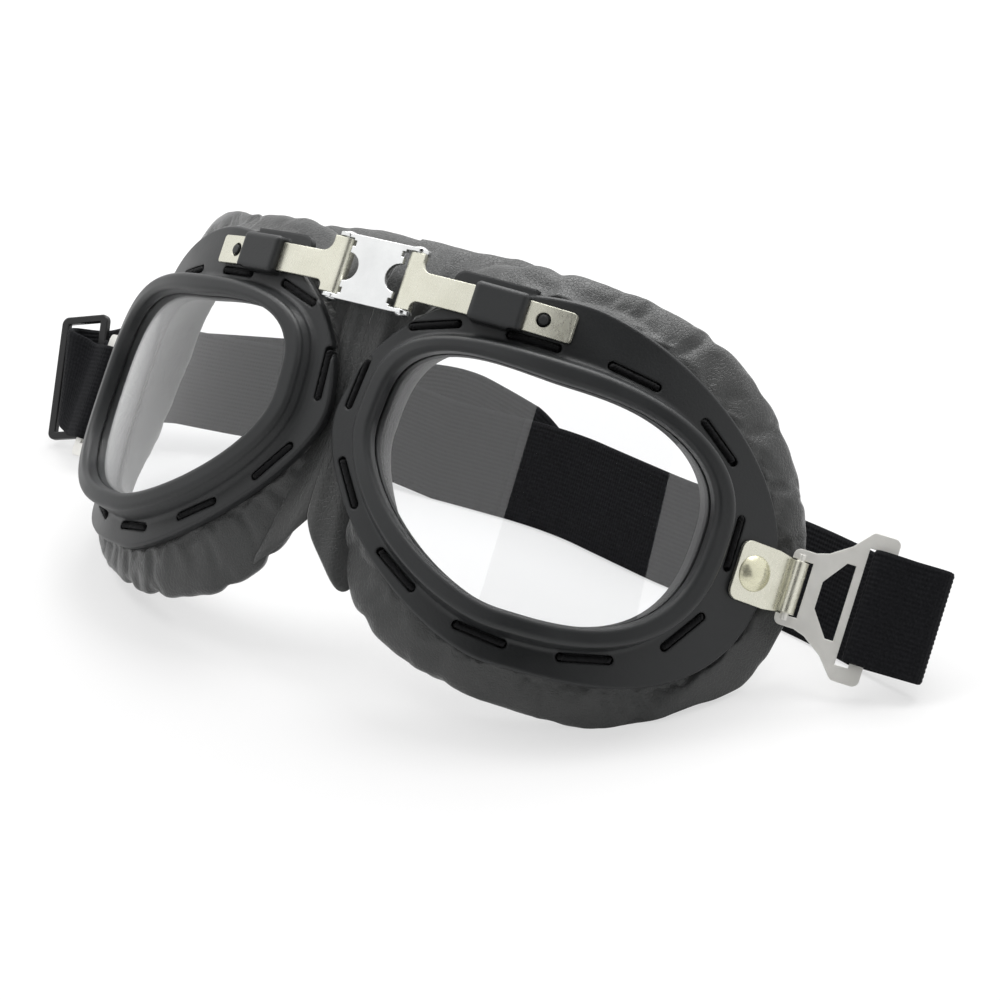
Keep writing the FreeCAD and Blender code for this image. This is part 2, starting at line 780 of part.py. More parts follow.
def ribbon(corners, radii):
    near = []
    far = []
    start = corners[0]
    for k in range(1, len(corners) - 1):
        corner = corners[k]
        radius = radii[k - 1]
        back = (corners[k - 1] - corner).normalize()
        ahead = (corners[k + 1] - corner).normalize()
        half = back.getAngle(ahead) / 2
        first = corner + back * (radius / math.tan(half))
        last = corner + ahead * (radius / math.tan(half))
        inward = (back + ahead).normalize()
        middle = corner + inward * (radius / math.sin(half) - radius)
        across = (ahead - back).normalize()
        for edges, offset in ((near, ply), (far, -ply)):
            edges.append(line(shifted(start, back * -1, offset), shifted(first, back * -1, offset)))
            edges.append(arc(shifted(first, back * -1, offset), shifted(middle, across, offset),
                             shifted(last, ahead, offset)))
        start = last
    run = (corners[-1] - start).normalize()
    first_run = (corners[1] - corners[0]).normalize()
    for edges, offset in ((near, ply), (far, -ply)):
        edges.append(line(shifted(start, run, offset), shifted(corners[-1], run, offset)))
    caps = [line(shifted(corners[0], first_run, ply), shifted(corners[0], first_run, -ply)),
            line(shifted(corners[-1], run, ply), shifted(corners[-1], run, -ply))]
    outline = Part.Wire(Part.__sortEdges__(near + far + caps))
    return Part.Face(outline).extrude(Vector(0, 0, strap_width))


settle = loop_end + strap_settle
leave = plan(buckle_swing, settle, lap_offset)
fold_slope = math.tan(math.radians(strap_fold_swing))
fold_rise = strap_joint_y + strap_joint_x * end_slope - leave.y + leave.x * fold_slope
fold_x = fold_rise / (fold_slope + end_slope)
fold_corner = back_line(fold_x)


# The back run stands on the table, so its height follows its depth
lean = math.radians(lean_angle)


def levelled(solid, floor, rise):
    shear = Matrix()
    shear.A32 = math.tan(lean)
    shear.A34 = floor / math.cos(lean) + rise
    return solid.transformGeometry(shear)


def half_space(corner):
    size = 4 * wrap_radius
    return Part.makeBox(size, size, size, corner)


# Each end starts level with its buckle and rises to meet the back run
def strap_end(floor, rise):
    swing = buckle_swing
    corners = [plan(swing, settle + strap_lap, -lap_offset), plan(swing, settle, -lap_offset),
               plan(swing, loop_end, -bar_offset), plan(swing, loop_start, -bar_offset),
               plan(swing, loop_start, bar_offset), plan(swing, loop_end, bar_offset),
               leave, fold_corner, joint_end()[1]]
    turn = bar_offset - strap_clearance / 2
    radii = [strap_fold_radius, strap_fold_radius, turn, turn, strap_fold_radius, strap_fold_radius,
             strap_fold_radius]
    solid = ribbon(corners, radii)
    solid.translate(Vector(0, 0, rivet_level - strap_width / 2))
    behind = half_space(Vector(-wrap_radius, leave.y, -2 * wrap_radius))
    joint_level = floor / math.cos(lean) + rise + strap_joint_y * math.tan(lean) + strap_width / 2
    climb = Matrix()
    climb.A32 = (joint_level - rivet_level) / (strap_joint_y - leave.y)
    climb.A34 = -climb.A32 * leave.y
    return solid.cut(behind).fuse(solid.common(behind).transformGeometry(climb))


def strap_back(floor):
    inner = joint_end()[0]
    corner = Vector(strap_corner_x, strap_back_y, 0)
    corners = [inner, corner, Vector(-corner.x, corner.y, 0), Vector(-inner.x, inner.y, 0)]
    run = levelled(ribbon(corners, [strap_back_radius, strap_back_radius]), floor, 0)
    rest = half_space(Vector(left_rise_start, -wrap_radius, -2 * wrap_radius))
    climb = Matrix()
    climb.A31 = left_rise / (-inner.x - left_rise_start)
    climb.A34 = -climb.A31 * left_rise_start
    return run.common(rest).fuse(run.cut(rest).transformGeometry(climb))


# The doubled end lies behind the back run, from the left joint to the middle
def strap_tail(floor):
    behind = Vector(0, (strap_thickness + tail_gap) * math.sqrt(1 + end_slope * end_slope), 0)
    inner = joint_end()[0]
    corner = Vector(-strap_corner_x, strap_back_y, 0)
    corners = [Vector(tail_end_x, strap_back_y, 0), corner, Vector(-inner.x, inner.y, 0)]
    tail = ribbon([corner + behind for corner in corners], [strap_back_radius])
    return levelled(tail, floor, left_rise)


# Slider: a flat rectangular ring between the plies, with the strap folded through it
def fold_frame():
    back = (leave - fold_corner).normalize()
    ahead = (joint_end()[1] - fold_corner).normalize()
    inward = (back + ahead).normalize()
    half = back.getAngle(ahead) / 2
    middle = fold_corner + inward * (strap_fold_radius / math.sin(half) - strap_fold_radius)
    return middle, inward * -1


def strap_slider(floor, rise):
    middle, outward = fold_frame()
    joint_level = floor / math.cos(lean) + rise + strap_joint_y * math.tan(lean) + strap_width / 2
    share = (middle.y - leave.y) / (strap_joint_y - leave.y)
    middle += Vector(0, slider_setback, rivet_level + (joint_level - rivet_level) * share)
    half = strap_width / 2 + slider_side_gap
    tall = half + slider_rail
    long = slider_window / 2 + slider_bar_width
    plate = Part.makeBox(2 * long, 2 * tall, slider_thickness,
                         Vector(-long, -tall, -slider_thickness / 2))
    plate = round_upright_edges(plate, slider_rail, lambda place: True)
    window = Part.makeBox(slider_window, 2 * half, 2 * slider_thickness,
                          Vector(-slider_window / 2, -half, -slider_thickness))
    plate = plate.cut(window)
    rims = [e for e in plate.Edges if abs(e.tangentAt(e.FirstParameter).z) < slider_edge]
    plate = plate.makeFillet(slider_edge, rims)
    tilt = math.radians(slider_tilt)
    across = outward * math.cos(tilt) - upright * math.sin(tilt)
    upward = outward * math.sin(tilt) + upright * math.cos(tilt)
    return placed(plate, middle, across, upward, across.cross(upward))


# Everything leans back and stands on the table at height zero
leaning = Placement(Vector(0, 0, 0), Rotation(Vector(1, 0, 0), -lean_angle))


def leant(shape):
    shape = shape.copy()
    shape.Placement = leaning.multiply(shape.Placement)
    return shape


cover_outside = cushion_solid(0)
table = leant(cover_outside).optimalBoundingBox(False).ZMin + rest_flat_depth
leather_cover = cover_outside.cut(cushion_solid(leather_thickness))
foam_pad = cushion_solid(leather_thickness + foam_gap)
buckle = swung(buckle_plate(), buckle_swing)

pairs = {
    "hinge_pin": hinge_pin(),
    "bridge_arm": bridge_arm(),
    "eyecup_frame": eyecup_frame(),
    "lens": lens_solid(0),
    "lacing": lacing(),
    "leather_cover": leather_cover,
    "foam_pad": foam_pad,
    "strap_bracket": strap_bracket(),
    "bracket_rivet": bracket_rivet(),
    "rivet_washer": rivet_washer(),
}
singles = {
    "bridge_plate": bridge_plate(),
    "nose_saddle": nose_saddle(),
    "right_buckle": buckle,
    "left_buckle": mirrored(buckle),
    "strap_right_end": strap_end(table, 0),
    "strap_left_end": mirrored(strap_end(table, left_rise)),
    "strap_back": strap_back(table),
    "strap_tail": strap_tail(table),
    "strap_slider": mirrored(strap_slider(table, left_rise)),
}

# The cushions sit on the table with a small flat
under_table = Part.makeBox(4 * wrap_radius, 4 * wrap_radius, wrap_radius,
                           Vector(-2 * wrap_radius, -2 * wrap_radius, table - wrap_radius))
standing = {}
for name, shape in pairs.items():
    right = leant(shape)
    if name == "leather_cover":
        right = right.cut(under_table)
    standing["right_" + name] = right
    standing["left_" + name] = mirrored(right)
for name, shape in singles.items():
    standing[name] = leant(shape)

extent = FreeCAD.BoundBox()
for shape in standing.values():
    extent.add(shape.optimalBoundingBox(False))
home = Vector(-extent.Center.x, -extent.Center.y, -table)

os.makedirs("parts", exist_ok=True)
for name, shape in standing.items():
    shape.translate(home)
    shape.exportStep("parts/" + name + ".step")
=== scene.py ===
import json
import bpy
import numpy as np
from mathutils import Matrix


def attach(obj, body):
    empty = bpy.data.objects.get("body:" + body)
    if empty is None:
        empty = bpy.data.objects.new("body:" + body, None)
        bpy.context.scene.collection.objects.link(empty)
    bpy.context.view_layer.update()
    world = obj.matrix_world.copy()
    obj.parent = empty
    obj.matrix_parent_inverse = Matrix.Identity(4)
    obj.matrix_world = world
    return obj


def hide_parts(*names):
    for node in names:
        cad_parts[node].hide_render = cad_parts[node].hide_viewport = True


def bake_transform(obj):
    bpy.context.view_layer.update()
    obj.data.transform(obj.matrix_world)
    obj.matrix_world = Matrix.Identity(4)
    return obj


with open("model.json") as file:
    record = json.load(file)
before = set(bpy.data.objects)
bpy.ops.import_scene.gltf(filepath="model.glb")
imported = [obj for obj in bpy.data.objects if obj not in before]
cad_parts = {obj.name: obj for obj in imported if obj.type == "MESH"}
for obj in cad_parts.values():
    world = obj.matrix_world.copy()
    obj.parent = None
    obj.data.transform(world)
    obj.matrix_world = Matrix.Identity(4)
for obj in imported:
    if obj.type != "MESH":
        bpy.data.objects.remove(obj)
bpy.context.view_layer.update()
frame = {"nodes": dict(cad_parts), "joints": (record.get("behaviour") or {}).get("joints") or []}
nodes = frame["nodes"]

# Bridge plate and its two pins: bright pressed steel over the nose, chromed and polished.
# The ears above and below carry the headed pins, which are riveted over.
def finish(name):
    """A node material: its tree, its Principled shader and the Object coordinates."""
    material = bpy.data.materials.new(name)
    material.use_nodes = True
    tree = material.node_tree
    place = tree.nodes.new("ShaderNodeTexCoord").outputs["Object"]
    return material, tree, tree.nodes["Principled BSDF"], place


def clouds(tree, place, scale, detail, stretch=(1, 1, 1)):
    """Fractal noise of the given cells per metre, after stretching the coordinates."""
    mapping = tree.nodes.new("ShaderNodeMapping")
    mapping.inputs["Scale"].default_value = stretch
    noise = tree.nodes.new("ShaderNodeTexNoise")
    noise.inputs["Scale"].default_value = scale
    noise.inputs["Detail"].default_value = detail
    tree.links.new(place, mapping.inputs["Vector"])
    tree.links.new(mapping.outputs["Vector"], noise.inputs["Vector"])
    return noise.outputs["Fac"]


def ranged(tree, value, low, high, start=0.3, end=0.7):
    """A value carried linearly from start..end to low..high and held there."""
    node = tree.nodes.new("ShaderNodeMapRange")
    limits = {"From Min": start, "From Max": end, "To Min": low, "To Max": high}
    for socket, number in limits.items():
        node.inputs[socket].default_value = number
    tree.links.new(value, node.inputs["Value"])
    return node.outputs["Result"]


def tinted(tree, shader, drift, first, second):
    """The base colour goes from first to second where the clouds thicken."""
    mix = tree.nodes.new("ShaderNodeMix")
    mix.data_type = "RGBA"
    mix.inputs["A"].default_value = (*first, 1)
    mix.inputs["B"].default_value = (*second, 1)
    tree.links.new(ranged(tree, drift, 0, 1), mix.inputs["Factor"])
    tree.links.new(mix.outputs["Result"], shader.inputs["Base Color"])


def rounded(tree, radius):
    """The normal over edges rounded by a bevel of that radius in metres."""
    bevel = tree.nodes.new("ShaderNodeBevel")
    bevel.inputs["Radius"].default_value = radius
    return bevel.outputs["Normal"]


def embossed(tree, shader, height, depth, edge=0.0):
    """A bump of that depth in metres, over edges rounded by a bevel of that radius."""
    bump = tree.nodes.new("ShaderNodeBump")
    bump.inputs["Strength"].default_value = 1.0
    bump.inputs["Distance"].default_value = depth
    tree.links.new(height, bump.inputs["Height"])
    if edge:
        tree.links.new(rounded(tree, edge), bump.inputs["Normal"])
    tree.links.new(bump.outputs["Normal"], shader.inputs["Normal"])


def plated(name, bright, dull, smooth, rough, grain, metal=1.0):
    """Plated steel: colour and gloss drift in clouds, with fine polishing lines."""
    material, tree, shader, place = finish(name)
    drift = clouds(tree, place, 160, 4)
    lines = clouds(tree, place, 700, 3, grain)
    shader.inputs["Metallic"].default_value = metal
    tinted(tree, shader, drift, bright, dull)
    tree.links.new(ranged(tree, lines, smooth, rough), shader.inputs["Roughness"])
    tree.links.new(rounded(tree, 0.0003), shader.inputs["Normal"])
    return material


def dress(names, material):
    """The named CAD nodes take one material."""
    for name in names:
        slots = nodes[name].data.materials
        slots.clear()
        slots.append(material)


chrome = plated("bright_chrome", bright=(0.88, 0.89, 0.89), dull=(0.78, 0.79, 0.79),
                smooth=0.12, rough=0.22, grain=(1, 6, 1))
dress(["bridge_plate", "left_hinge_pin", "right_hinge_pin"], chrome)


# Bridge arms: stamped strips rolled round the pins, satin nickel with a warm cast.
# Each slides under a moulded keeper and hooks on a peg.
nickel = plated("pale_nickel", bright=(0.80, 0.79, 0.68), dull=(0.72, 0.71, 0.60),
                smooth=0.24, rough=0.34, grain=(5, 1, 1), metal=0.75)
dress(["left_bridge_arm", "right_bridge_arm"], nickel)


# Eyecup frames: one soft dark moulding each, flange and lens rim together.
# The skin is matte with a faint bloom, paler and rougher in soft random clouds.
def moulded(name, dark, pale, smooth, rough, edge):
    """Moulded skin: two grades of cloud in colour and gloss, and a fine pebble."""
    material, tree, shader, place = finish(name)
    drift = clouds(tree, place, 55, 5)
    pebble = clouds(tree, place, 1800, 2)
    tinted(tree, shader, drift, dark, pale)
    tree.links.new(ranged(tree, drift, smooth, rough), shader.inputs["Roughness"])
    shader.inputs["Specular IOR Level"].default_value = 0.38
    embossed(tree, shader, pebble, 0.00003, edge)
    return material


rubber = moulded("dark_rubber", dark=(0.0195, 0.0206, 0.0215), pale=(0.0265, 0.0280, 0.0290),
                 smooth=0.34, rough=0.48, edge=0.0008)
dress(["left_eyecup_frame", "right_eyecup_frame"], rubber)


# Lenses: bent clear panes sprung into a groove inside each rim.
# Clear plastic with a trace of grey and a faint haze from wiping.
panes = ["left_lens", "right_lens"]
clear, tree, shader, place = finish("clear_lens")
shader.inputs["Base Color"].default_value = (0.97, 0.975, 0.98, 1)
shader.inputs["Transmission Weight"].default_value = 1.0
shader.inputs["IOR"].default_value = 1.55
haze = clouds(tree, place, 90, 6, (1, 1, 3))
tree.links.new(ranged(tree, haze, 0.0, 0.012, 0.45, 0.75), shader.inputs["Roughness"])
dress(panes, clear)
for name in panes:
    nodes[name].visible_shadow = False


# Lacing: eleven short runs of black cord on each eyecup, sewn through slots in the flange.
# The cord is twisted from three strands and dives through the flange at both ends.
sides = (("right", 1), ("left", -1))
lean = np.radians(37.5)
hinge_drawn = np.array([0, 0.00045, 0.0325])
hinge_middle = (np.array(frame["joints"][0]["pos_m"]) + np.array(frame["joints"][1]["pos_m"])) / 2
upright = np.array([[1, 0, 0], [0, np.cos(lean), np.sin(lean)], [0, -np.sin(lean), np.cos(lean)]])
home = hinge_middle - upright @ hinge_drawn
wrap_radius, wrap_axis, eye_arc = 96.0, 7.7, 42.2
rim_reaches, rim_powers = (41.0, 40.8, 24.3, 33.0), (3.6, 2.3, 2.6, 1.6)
slot_gaps, slot_count, first_slot_share = (4.4, 4.4, 2.7, 2.0), 11, 0.002
cord_rows, cord_columns = 61, 18


def stand(points):
    """Drawn millimetres to standing metres: scale, lean back about X, then shift home."""
    return (np.asarray(points) * 0.001) @ upright.T + home


def wrapped(along, level, depth):
    """A point on the curve of the face: an arc length s, a height and a distance d outwards.

    x = wrap_axis + (wrap_radius + d) sin(s / wrap_radius), and y goes as the cosine.
    """
    turn = along / wrap_radius
    reach = wrap_radius + depth
    return np.stack([wrap_axis + reach * np.sin(turn), wrap_radius - reach * np.cos(turn),
                     np.broadcast_to(level, np.shape(turn))], -1)


def oval(angle, reaches, powers):
    """Radius of a superellipse of four quarters: |cos / side|^p + |sin / height|^p = radius^-p.

    The reaches are nasal, outer, top and bottom, and each quarter has its own power.
    """
    across, rise = np.cos(angle), np.sin(angle)
    side = np.where(across >= 0, reaches[1], reaches[0])
    height = np.where(rise >= 0, reaches[2], reaches[3])
    upper = np.where(across >= 0, powers[1], powers[0])
    lower = np.where(across >= 0, powers[2], powers[3])
    power = np.where(rise >= 0, upper, lower)
    return (np.abs(across / side) ** power + np.abs(rise / height) ** power) ** (-1 / power)


def woven_mesh(name, points, faces, uv=None):
    """A mesh from points in metres and quads, turned outwards by the sign of its volume."""
    flat = points.reshape(-1, 3)
    a, b, c, d = (flat[faces[:, k]] for k in range(4))
    volume = np.einsum("ij,ij->", a, np.cross(b, c) + np.cross(c, d))
    if volume < 0:
        faces = faces[:, ::-1]
    mesh = bpy.data.meshes.new(name)
    mesh.vertices.add(len(flat))
    mesh.vertices.foreach_set("co", flat.astype(np.float32).ravel())
    mesh.loops.add(faces.size)
    mesh.loops.foreach_set("vertex_index", faces.astype(np.int32).ravel())
    mesh.polygons.add(len(faces))
    mesh.polygons.foreach_set("loop_start", np.arange(0, faces.size, 4, dtype=np.int32))
    mesh.update(calc_edges=True)
    mesh.polygons.foreach_set("use_smooth", np.ones(len(faces), bool))
    if uv is not None:
        layer = mesh.uv_layers.new(name="lay")
        layer.data.foreach_set("uv", uv.reshape(-1, 2)[faces.ravel()].astype(np.float32).ravel())
    mesh.validate()
    piece = bpy.data.objects.new(name, mesh)
    bpy.context.scene.collection.objects.link(piece)
    return piece


def grid_faces(rows, columns, loop_rows, loop_columns, start=0):
    """Quads of a rows by columns grid; a looped way joins its last line to its first."""
    r = np.arange(rows if loop_rows else rows - 1)[:, None]
    c = np.arange(columns if loop_columns else columns - 1)[None, :]
    after_r, after_c = (r + 1) % rows, (c + 1) % columns
    quad = np.stack(np.broadcast_arrays(r * columns + c, after_r * columns + c,
                                        after_r * columns + after_c, r * columns + after_c), -1)
    return quad.reshape(-1, 4) + start


def tube_faces(rows, columns, start=0):
    """Quads of a tube of rows by columns points, closed across each end from half to half."""
    near = np.arange(columns // 2 - 1)
    cap = np.stack([near, near + 1, columns - 2 - near, columns - 1 - near], -1) + start
    return np.concatenate([grid_faces(rows, columns, False, True, start),
                           cap, cap[:, ::-1] + (rows - 1) * columns])


def distance_along(line):
    """Length from the first point of a line to each of its points."""
    return np.concatenate([[0], np.cumsum(np.linalg.norm(np.diff(line, axis=0), axis=1))])


slot_reaches = [reach + gap for reach, gap in zip(rim_reaches, slot_gaps)]
slot_turn = np.linspace(0, 2 * np.pi, 1057)
slot_radius = oval(slot_turn, slot_reaches, rim_powers)
slot_line = np.stack([eye_arc + slot_radius * np.cos(slot_turn),
                      slot_radius * np.sin(slot_turn)], -1)
slot_run = distance_along(slot_line)
slot_place = (np.arange(slot_count) / slot_count + first_slot_share) * slot_run[-1]


def on_slots(run):
    """Points of the closed slot line at these lengths along it."""
    run = run % slot_run[-1]
    return np.stack([np.interp(run, slot_run, slot_line[:, k]) for k in (0, 1)], -1)


def stitches():
    """Eleven cords: along each slot runs a staple with a twisted tube of three lobes round it.

    The staple is x = half_length tanh(steepness t) / tanh(steepness), z = -sunk - drop t^8,
    and the tube's radius is cord_radius (1 + lobe cos(strands angle - twist x)).
    """
    half_step = 2.0
    half_length, steepness, sunk, drop = 5.2, 3.2, 0.37, 2.0
    cord_radius, lobe, strands, twist = 0.62, 0.13, 3, 9
    spot = on_slots(slot_place)
    heading = on_slots(slot_place + half_step) - on_slots(slot_place - half_step)
    turn = spot[:, 0] / wrap_radius
    zero = np.zeros_like(turn)
    normal = np.stack([np.sin(turn), -np.cos(turn), zero], -1)
    tangent = np.stack([np.cos(turn), np.sin(turn), zero], -1)
    run = tangent * heading[:, :1] + np.array([0, 0, 1]) * heading[:, 1:]
    run /= np.linalg.norm(run, axis=1)[:, None]
    side = np.cross(normal, run)
    t = np.linspace(-1, 1, cord_rows)
    x = half_length * np.tanh(steepness * t) / np.tanh(steepness)
    z = -sunk - drop * t ** 8
    slope_x, slope_z = np.gradient(x), np.gradient(z)
    size = np.hypot(slope_x, slope_z)
    round_turn = np.linspace(0, 2 * np.pi, cord_columns, endpoint=False)
    radius = cord_radius * (1 + lobe * np.cos(strands * round_turn[None, :] - twist * x[:, None]))
    out_x = (-slope_z / size)[:, None] * (radius * np.cos(round_turn))
    out_z = (slope_x / size)[:, None] * (radius * np.cos(round_turn))
    along = x[:, None] + out_x
    above = z[:, None] + out_z
    beside = np.broadcast_to(radius * np.sin(round_turn), (slot_count, *radius.shape))
    centre = wrapped(spot[:, 0], spot[:, 1], 0.0)[:, None, None, :]
    return (centre + run[:, None, None, :] * along[None, :, :, None]
            + normal[:, None, None, :] * above[None, :, :, None]
            + side[:, None, None, :] * beside[..., None])


cord, tree, shader, place = finish("black_cord")
fuzz = clouds(tree, place, 2600, 3)
tinted(tree, shader, fuzz, (0.003, 0.003, 0.0035), (0.010, 0.010, 0.011))
shader.inputs["Roughness"].default_value = 0.85
shader.inputs["Specular IOR Level"].default_value = 0.2
shader.inputs["Sheen Weight"].default_value = 0.04
embossed(tree, shader, fuzz, 0.0001)
cord_faces = np.concatenate([tube_faces(cord_rows, cord_columns, cord_rows * cord_columns * k)
                             for k in range(slot_count)])
for side, sign in sides:
    lacing = woven_mesh("lacing_" + side, stand(stitches() * np.array([sign, 1, 1])), cord_faces)
    lacing.data.materials.append(cord)
    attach(lacing, side + "_eyecup")
    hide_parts(side + "_lacing")


# Leather cushions: soft dark leather over foam, gathered behind each flange by the lacing.
# The skin is drawn tight at the flange and puckers where the slack runs out to the edge.
flange_reaches, flange_powers = (48.9, 56.4, 37.8, 40.1), (2.0, 1.6, 2.6, 1.5)
flange_thickness, rim_width = 2.4, 4.4
cushion_bulge, cushion_depth = 8.0, 18.0
depth_shares = (0.75, 0.90, 1.00, 0.85, 0.60, 0.85, 0.80, 0.50)
bulge_shares = {"right": (0.62, 0.95, 0.70, 1.10, -0.30, 1.25, 0.84, 1.08),
                "left": (0.88, 1.75, 0.60, 1.15, -0.10, 1.58, 0.95, 0.55)}
gather_seeds = {"right": 1, "left": 2}
ring_turns, section_keys = 300, 8
section_spots = np.linspace(0, section_keys, 48, endpoint=False)
sewn_before, sewn_after, cloth_reach = 2.3, 6.6, 0.0022


def looped(keys, spot):
    """A closed Catmull-Rom curve through the keys, at these whole and part steps round it.

    Each step is p1 + t/2 (p2 - p0 + t (2 p0 - 5 p1 + 4 p2 - p3 + t (3 p1 - 3 p2 + p3 - p0))).
    """
    keys = np.asarray(keys)
    first = spot.astype(int)
    t = (spot - first).reshape(-1, *[1] * (keys.ndim - 1))
    p0, p1, p2, p3 = (keys[(first + k) % len(keys)] for k in (-1, 0, 1, 2))
    square, cube = 2 * p0 - 5 * p1 + 4 * p2 - p3, 3 * (p1 - p2) + p3 - p0
    return p1 + 0.5 * t * (p2 - p0 + t * (square + t * cube))


def puckers(length, seed):
    """Gathers along an edge: w - sharpness w^2 + level, where w is two uneven sine waves.

    They are about 11 and 7 mm long. The square sharpens the dips, and two slow waves
    make them strong in places only.
    """
    long_rate, short_rate, sharpness, level = 0.556, 0.885, 0.45, 0.1
    wave = 0.6 * np.sin(length * long_rate + 0.9 * np.sin(length / 17 + seed) + seed)
    unevenness = 0.8 * np.sin(length / 9.7 - seed)
    wave = wave + 0.4 * np.sin(length * short_rate + unevenness + 2.1 * seed)
    strength = 0.55 + 0.45 * np.sin(length / 31 + 1.3 * seed) * np.sin(length / 19 - seed)
    return (wave - sharpness * wave ** 2 + level) * strength


def cushion_skin(bulges, depths, seed):
    """A closed ring: eight section points a turn, joined by a closed Catmull-Rom curve.

    A point at turn a has radius r and depth d: it lies at the arc eye_arc + r cos a and the
    height r sin a on the curve of the face, d behind the seam, and the gathers push it out.
    """
    tuck, inner_step, crown_lift, wall_hollow, seam_gap = 1.0, 1.5, 1.5, 0.8, 0.15
    gather_out, gather_back, gather_repeat, gather_fade = 0.6, 0.5, 43, 12
    turn = np.linspace(0, 2 * np.pi, ring_turns, endpoint=False)
    spot = turn / (2 * np.pi) % 1 * section_keys
    share = looped(bulges, spot)
    back = cushion_depth * looped(depths, spot)
    edge = oval(turn, flange_reaches, flange_powers)
    wall = oval(turn, rim_reaches, rim_powers) - rim_width + inner_step
    outer = edge + cushion_bulge * share
    shoulder = np.minimum(edge, outer) - tuck
    crown = (wall + outer) / 2 + crown_lift * share
    hip = wrapped(eye_arc + outer * np.cos(turn), outer * np.sin(turn), -flange_thickness)
    length = distance_along(hip)
    length *= np.round(length[-1] / gather_repeat) * gather_repeat / length[-1]
    ends = np.minimum(1, np.minimum(length, length[-1] - length) / gather_fade)
    gather = puckers(length, seed) * ends
    # Each section point: its radius, its depth and how far the gathers move it out and back.
    section = [(wall, 1.0, 0, 0),
               ((wall + shoulder) / 2, 0.1, 0, 0),
               (shoulder, 0.1, 0, 0),
               (shoulder + 0.38 * (outer - shoulder), 0.19 * back, 0.35, 0),
               (outer, 0.48 * back, 1.0, 0.2),
               ((outer + crown) / 2 + 0.08 * back, 0.84 * back, 1.0, 0.8),
               (crown, back, 0.35, 0.5),
               ((crown + wall) / 2 - wall_hollow, 0.80 * back, 0, 0)]
    radius = np.stack([reach + gather_out * push * gather for reach, _, push, _ in section])
    depth = np.stack([behind + gather_back * push * gather for _, behind, _, push in section])
    radius, depth = looped(radius, section_spots).T, looped(depth, section_spots).T
    angle = np.broadcast_to(turn[:, None], radius.shape)
    skin = wrapped(eye_arc + radius * np.cos(angle), radius * np.sin(angle),
                   -flange_thickness - seam_gap)
    skin[..., 1] += depth
    return skin


def plumped(piece, sewn, cap):
    """Cloth filled with air, held where sewn and cut a little large; no point moves past cap."""
    frames = 20
    group = piece.vertex_groups.new(name="sewn")
    group.add(np.flatnonzero(sewn).tolist(), 1.0, "REPLACE")
    cloth = piece.modifiers.new("cloth", "CLOTH")
    make = cloth.settings
    make.vertex_group_mass = "sewn"
    make.quality = 5
    make.use_pressure = True
    make.uniform_pressure_force = 4.0
    make.effector_weights.gravity = 0.0
    make.shrink_min = -0.045
    make.bending_stiffness = 0.3
    for step in range(1, frames + 1):
        bpy.context.scene.frame_set(step)
    filled = piece.evaluated_get(bpy.context.evaluated_depsgraph_get()).data
    start = np.empty(len(piece.data.vertices) * 3, np.float32)
    moved = np.empty_like(start)
    piece.data.vertices.foreach_get("co", start)
    filled.vertices.foreach_get("co", moved)
    bpy.context.scene.frame_set(1)
    piece.modifiers.remove(cloth)
    piece.vertex_groups.remove(group)
    start, moved = start.reshape(-1, 3), moved.reshape(-1, 3)
    shift = moved - start
    size = np.linalg.norm(shift, axis=1)[:, None]
    rest = start + shift * np.minimum(1, cap / np.maximum(size, 1e-9))
    rest[:, 2] = np.maximum(rest[:, 2], 0.0)
    piece.data.vertices.foreach_set("co", rest.astype(np.float32).ravel())
    piece.data.update()
    smooth = piece.modifiers.new("smooth", "SUBSURF")
    smooth.levels = smooth.render_levels = 1


def combined(tree, operation, first, second):
    """Two values put through one arithmetic node."""
    node = tree.nodes.new("ShaderNodeMath")
    node.operation = operation
    tree.links.new(first, node.inputs[0])
    tree.links.new(second, node.inputs[1])
    return node.outputs["Value"]


leather, tree, shader, place = finish("black_leather")
grain = tree.nodes.new("ShaderNodeTexVoronoi")
grain.feature = "DISTANCE_TO_EDGE"
grain.inputs["Scale"].default_value = 1150
bend = clouds(tree, place, 300, 3)
warp = tree.nodes.new("ShaderNodeMix")
warp.data_type = "VECTOR"
warp.inputs["Factor"].default_value = 0.0012
tree.links.new(place, warp.inputs["A"])
tree.links.new(bend, warp.inputs["B"])
tree.links.new(warp.outputs["Result"], grain.inputs["Vector"])
cells = ranged(tree, grain.outputs["Distance"], 0, 1, 0.0, 0.12)
creases = clouds(tree, place, 210, 5)
drift = clouds(tree, place, 45, 5)
tinted(tree, shader, drift, (0.039, 0.041, 0.041), (0.054, 0.055, 0.054))
tree.links.new(ranged(tree, creases, 0.40, 0.52), shader.inputs["Roughness"])
shader.inputs["Specular IOR Level"].default_value = 0.45
shader.inputs["Sheen Weight"].default_value = 0.60
shader.inputs["Sheen Roughness"].default_value = 0.34
embossed(tree, shader, combined(tree, "ADD", creases, cells), 0.00005)

section = np.tile(section_spots, ring_turns)
sewn = (section < sewn_before) | (section > sewn_after)
for side, sign in sides:
    skin = cushion_skin(bulge_shares[side], depth_shares, gather_seeds[side])
    skin = stand(skin * np.array([sign, 1, 1]))
    skin[..., 2] = np.maximum(skin[..., 2], 0.0)
    cushion = woven_mesh("leather_cushion_" + side, skin, grid_faces(*skin.shape[:2], True, True))
    cushion.data.materials.append(leather)
    plumped(cushion, sewn, cloth_reach)
    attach(cushion, side + "_eyecup")
    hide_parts(side + "_leather_cover", side + "_foam_pad")
